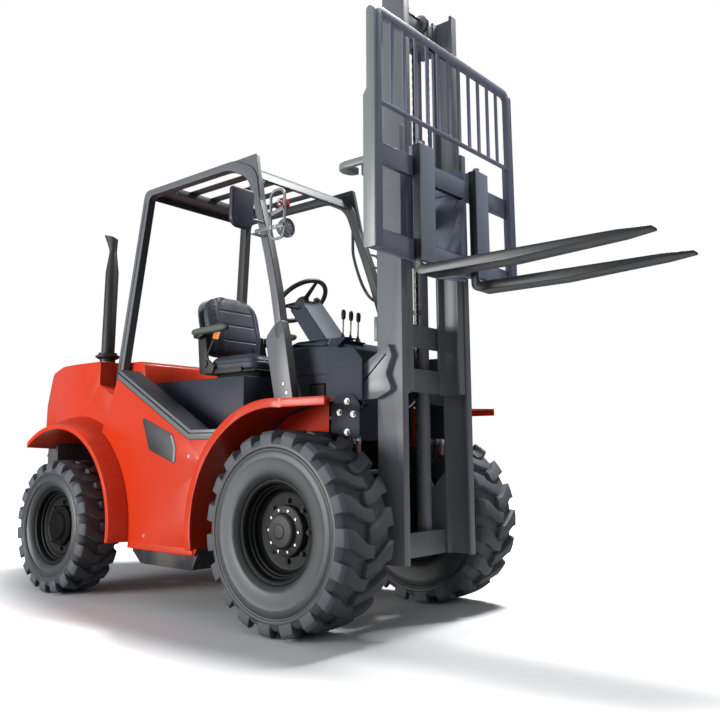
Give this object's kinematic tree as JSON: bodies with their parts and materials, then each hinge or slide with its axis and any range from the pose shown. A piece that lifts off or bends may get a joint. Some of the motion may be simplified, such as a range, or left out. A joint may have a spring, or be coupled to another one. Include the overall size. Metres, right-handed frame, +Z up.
{
  "type": "rough terrain forklift",
  "caption": "Counterbalanced rough terrain forklift with chunky tyres, rear steering, overhead guard and a two stage tilting mast with sliding forks, its mast partly raised.",
  "frame": {"origin": "on the floor, in the middle of the whole machine's box with the mast raised as stored", "axes": "+X forward to the fork tips, +Y to the operator's left, +Z up"},
  "size_m": [4.082, 1.534, 3.269],
  "materials": {
    "chassis_paint": "satin dark grey paint",
    "engine_iron": "cast iron",
    "body_red": "glossy orange red enamel",
    "guard_grey": "satin dark grey paint",
    "cover_grey": "satin blue grey paint",
    "tank_black": "satin black paint",
    "cowl_plastic": "grained dark plastic",
    "seat_vinyl": "grained vinyl",
    "seat_plastic": "moulded plastic",
    "lamp_shell": "black housing",
    "lamp_red": "red lens",
    "tyre_rubber": "black rubber",
    "rim_black": "satin black paint",
    "mast_grey": "satin grey paint",
    "fork_black": "satin black paint",
    "rod_chrome": "hard chrome",
    "pin_steel": "bright steel",
    "chain_steel": "oiled steel"
  },
  "bodies": {
    "machine": {"chassis": "chassis_paint", "engine_block": "engine_iron", "counterweight": "chassis_paint", "tow_pin": "pin_steel", "rear_body": "body_red", "floor_plate": "cover_grey", "side_tanks": "tank_black", "cowl": "cowl_plastic", "steering_column": "cowl_plastic", "control_levers": "cowl_plastic", "guard_right": "guard_grey", "guard_left": "guard_grey", "guard_roof": "guard_grey", "front_lamps": "lamp_shell", "mirrors": "cowl_plastic", "rear_lamps": "lamp_red", "exhaust": "tank_black", "front_axle": "chassis_paint", "rear_axle": "chassis_paint", "side_panel_right": "body_red", "side_panel_left": "body_red", "front_fender_right": "body_red", "front_fender_left": "body_red"},
    "engine_cover": {"engine_cover": "cover_grey", "seat_frame": "seat_plastic", "seat_cushion": "seat_vinyl", "seat_backrest": "seat_vinyl"},
    "steering_wheel": {"steering_wheel": "cowl_plastic"},
    "mast": {"outer_rail_right": "mast_grey", "outer_rail_left": "mast_grey", "outer_ties": "chassis_paint", "lift_barrels": "chassis_paint", "chains_lower": "chain_steel"},
    "inner_mast": {"inner_rail_right": "mast_grey", "inner_rail_left": "mast_grey", "inner_ties": "chassis_paint", "lift_rods": "rod_chrome", "chains_upper": "chain_steel"},
    "carriage": {"carriage": "mast_grey", "load_backrest": "mast_grey"},
    "tilt_barrels": {"tilt_barrels": "mast_grey"},
    "tilt_rods": {"tilt_rods": "rod_chrome"},
    "front_wheel_right": {"front_tyre_right": "tyre_rubber", "front_rim_right": "rim_black"},
    "knuckle_right": {"knuckle_right": "chassis_paint"},
    "rear_wheel_right": {"rear_tyre_right": "tyre_rubber", "rear_rim_right": "rim_black"},
    "fork_right": {"fork_right": "fork_black"},
    "front_wheel_left": {"front_tyre_left": "tyre_rubber", "front_rim_left": "rim_black"},
    "knuckle_left": {"knuckle_left": "chassis_paint"},
    "rear_wheel_left": {"rear_tyre_left": "tyre_rubber", "rear_rim_left": "rim_black"},
    "fork_left": {"fork_left": "fork_black"}
  },
  "joints": [
    {"name": "front_wheel_right_spin", "type": "hinge", "parent": "machine", "child": "front_wheel_right", "pos_m": [0.395, -0.56, 0.4635], "axis": [0, 1, 0], "continuous": true},
    {"name": "steer_right", "type": "hinge", "parent": "machine", "child": "knuckle_right", "pos_m": [-1.455, -0.513, 0.3865], "axis": [0, 0, 1], "range_deg": [-42, 42]},
    {"name": "rear_wheel_right_spin", "type": "hinge", "parent": "knuckle_right", "child": "rear_wheel_right", "pos_m": [-1.455, -0.635, 0.3865], "axis": [0, 1, 0], "continuous": true},
    {"name": "fork_right_shift", "type": "slide", "parent": "carriage", "child": "fork_right", "axis": [0, 1, 0], "range_m": [-0.262, 0.18]},
    {"name": "front_wheel_left_spin", "type": "hinge", "parent": "machine", "child": "front_wheel_left", "pos_m": [0.395, 0.56, 0.4635], "axis": [0, 1, 0], "continuous": true},
    {"name": "steer_left", "type": "hinge", "parent": "machine", "child": "knuckle_left", "pos_m": [-1.455, 0.513, 0.3865], "axis": [0, 0, 1], "range_deg": [-42, 42]},
    {"name": "rear_wheel_left_spin", "type": "hinge", "parent": "knuckle_left", "child": "rear_wheel_left", "pos_m": [-1.455, 0.635, 0.3865], "axis": [0, 1, 0], "continuous": true},
    {"name": "fork_left_shift", "type": "slide", "parent": "carriage", "child": "fork_left", "axis": [0, 1, 0], "range_m": [-0.18, 0.262]},
    {"name": "mast_tilt", "type": "hinge", "parent": "machine", "child": "mast", "pos_m": [0.565, 0, 0.5], "axis": [0, 1, 0], "range_deg": [-10, 10]},
    {"name": "mast_lift", "type": "slide", "parent": "mast", "child": "inner_mast", "axis": [0, 0, 1], "range_m": [-0.812, 0.688]},
    {"name": "carriage_lift", "type": "slide", "parent": "inner_mast", "child": "carriage", "axis": [0, 0, 1], "range_m": [-0.812, 0.688]},
    {"name": "tilt_barrel_swing", "type": "hinge", "parent": "machine", "child": "tilt_barrels", "pos_m": [-0.005, 0, 0.74], "axis": [0, 1, 0], "range_deg": [-8, 8]},
    {"name": "tilt_rod_slide", "type": "slide", "parent": "tilt_barrels", "child": "tilt_rods", "axis": [0.8073, 0, 0.5902], "range_m": [-0.13, 0.13]},
    {"name": "steering_wheel_turn", "type": "hinge", "parent": "machine", "child": "steering_wheel", "pos_m": [-0.12, 0, 1.7], "axis": [-0.6428, 0, 0.766], "continuous": true},
    {"name": "engine_cover_open", "type": "hinge", "parent": "machine", "child": "engine_cover", "pos_m": [-0.955, 0, 1.226], "axis": [0, -1, 0], "range_deg": [0, 24]}
  ],
  "couplings": [
    {"joint": "steer_left", "follows": "steer_right", "ratio": 1},
    {"joint": "carriage_lift", "follows": "mast_lift", "ratio": 1},
    {"joint": "tilt_barrel_swing", "follows": "mast_tilt", "ratio": 0.53633},
    {"joint": "tilt_rod_slide", "follows": "mast_tilt", "m_per_rad": 0.52972}
  ]
}
